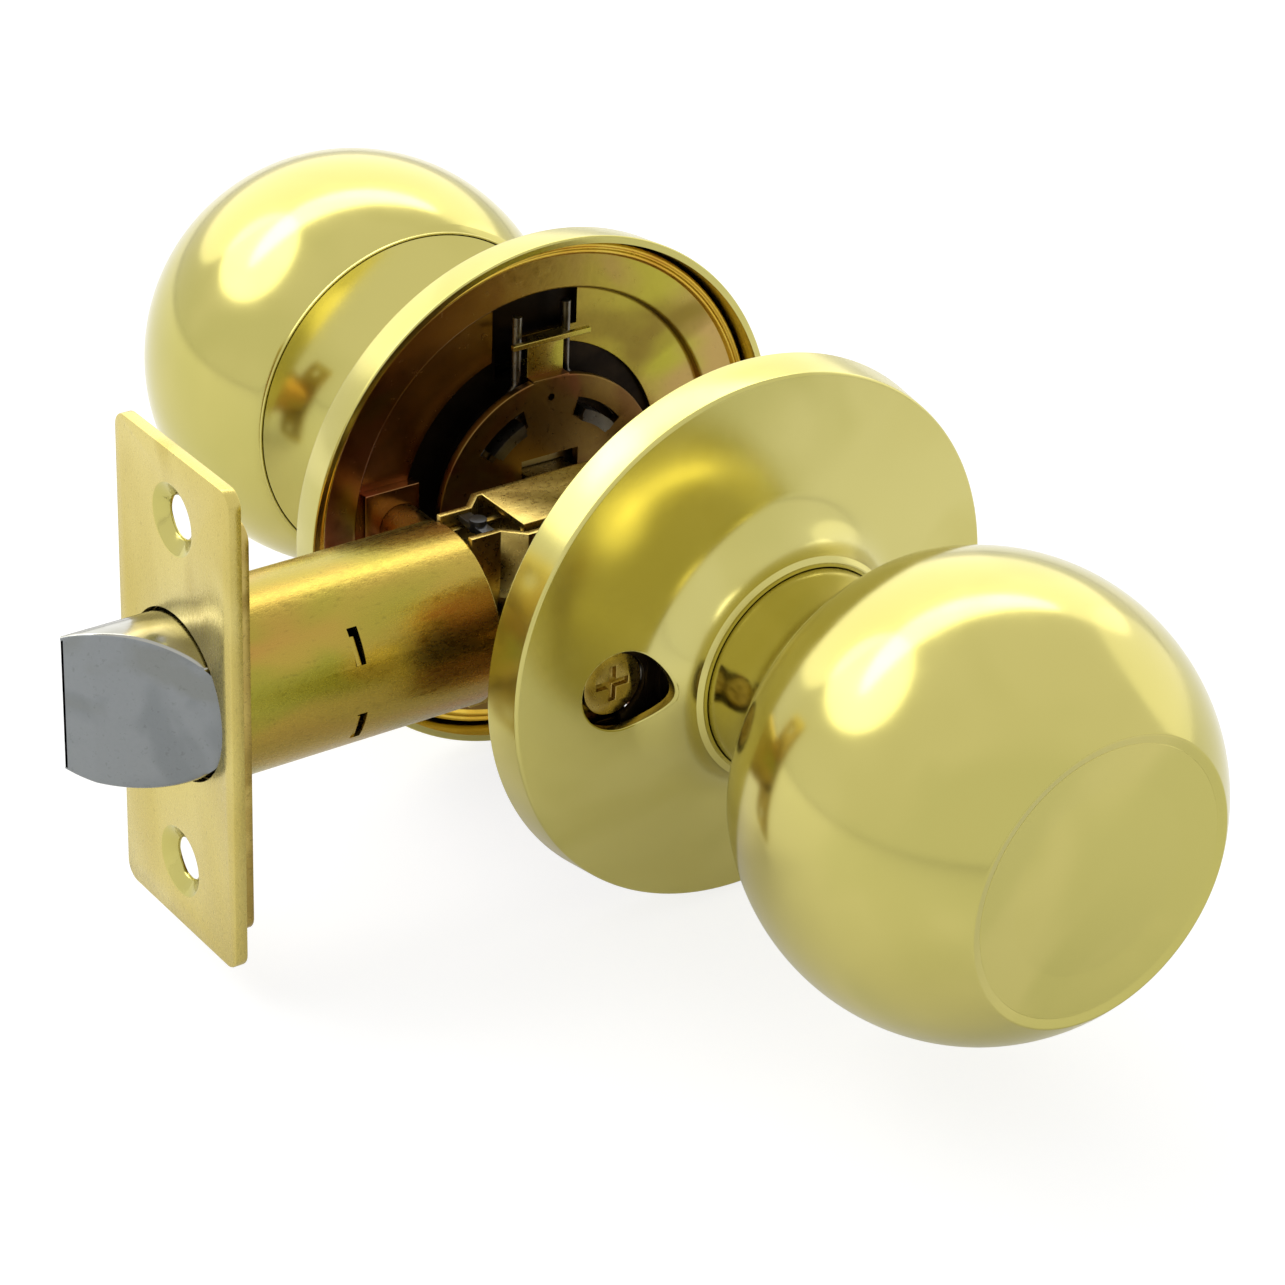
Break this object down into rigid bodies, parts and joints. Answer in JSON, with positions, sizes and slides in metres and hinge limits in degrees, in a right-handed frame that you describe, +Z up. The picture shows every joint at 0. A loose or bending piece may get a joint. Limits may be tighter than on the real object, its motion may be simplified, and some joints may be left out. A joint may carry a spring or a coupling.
{
  "type": "passage door knob set",
  "caption": "Sprung passage door knob set: ball knobs on round roses, a square spindle and a tubular latch whose spring bolt is drawn back by either knob.",
  "frame": {"origin": "where the spindle's axis meets the latch's axis, half way through the door", "axes": "+Y from the inside face of the door to the outside face along the spindle; -X from the spindle to the door's edge, the way the bolt points; +Z up"},
  "size_m": [0.1037, 0.163, 0.0644],
  "materials": {
    "polished_brass": "polished and lacquered",
    "satin_brass": "satin",
    "zinc_yellow": "zinc plated with a yellow chromate tint",
    "grey_steel": "plain drawn",
    "dark_steel": "dark",
    "spring_steel": "oil tempered",
    "brown_steel": "brown chromate",
    "bolt_nickel": "plated and lightly polished",
    "black_oxide": "black oxide"
  },
  "bodies": {
    "frame": {"outside_rose": "polished_brass", "inside_rose": "polished_brass", "outside_mounting_plate": "zinc_yellow", "inside_mounting_plate": "zinc_yellow", "outside_spring_cup": "dark_steel", "inside_spring_cup": "dark_steel", "outside_bush": "grey_steel", "inside_bush": "grey_steel", "outside_return_spring": "spring_steel", "inside_return_spring": "spring_steel", "outside_posts": "zinc_yellow", "mounting_screws": "zinc_yellow", "latch_faceplate": "satin_brass", "latch_backplate": "dark_steel", "latch_tube": "zinc_yellow", "spring_seat": "zinc_yellow", "bolt_spring": "spring_steel", "case_far_half": "zinc_yellow", "case_near_half": "zinc_yellow", "case_rivets": "zinc_yellow", "bridge_studs": "black_oxide"},
    "outside_knob": {"outside_knob_shell": "polished_brass", "outside_knob_neck": "polished_brass", "outside_shank": "grey_steel", "outside_spindle_hub": "grey_steel", "outside_retaining_ring": "grey_steel", "outside_driver": "brown_steel", "spindle": "zinc_yellow"},
    "inside_knob": {"inside_knob_shell": "polished_brass", "inside_knob_neck": "polished_brass", "inside_shank": "grey_steel", "inside_spindle_hub": "grey_steel", "inside_retaining_ring": "grey_steel", "inside_driver": "brown_steel"},
    "cam": {"latch_cam": "grey_steel"},
    "bolt": {"latch_bolt": "bolt_nickel", "bolt_pin": "grey_steel", "draw_bar": "grey_steel", "retractor": "zinc_yellow"}
  },
  "joints": [
    {"name": "outside_knob_turn", "type": "hinge", "parent": "frame", "child": "outside_knob", "pos_m": [0, 0, 0], "axis": [0, 1, 0], "range_deg": [0, 66], "stiffness_Nm_per_rad": 0.2, "springref_deg": -17.19, "deforming": ["outside_return_spring", "inside_return_spring"]},
    {"name": "inside_knob_turn", "type": "hinge", "parent": "frame", "child": "inside_knob", "pos_m": [0, 0, 0], "axis": [0, 1, 0], "range_deg": [0, 66.5]},
    {"name": "cam_turn", "type": "hinge", "parent": "frame", "child": "cam", "pos_m": [0, 0, 0], "axis": [0, 1, 0], "range_deg": [0, 66.5]},
    {"name": "bolt_slide", "type": "slide", "parent": "frame", "child": "bolt", "axis": [1, 0, 0], "range_m": [0, 0.0116], "stiffness_N_per_m": 40, "springref_m": -0.004, "deforming": ["bolt_spring"]}
  ],
  "couplings": [
    {"joint": "inside_knob_turn", "follows": "outside_knob_turn", "ratio": 1},
    {"joint": "cam_turn", "follows": "outside_knob_turn", "ratio": 1},
    {"joint": "bolt_slide", "follows": "outside_knob_turn", "m_per_rad": 0.0099834}
  ]
}
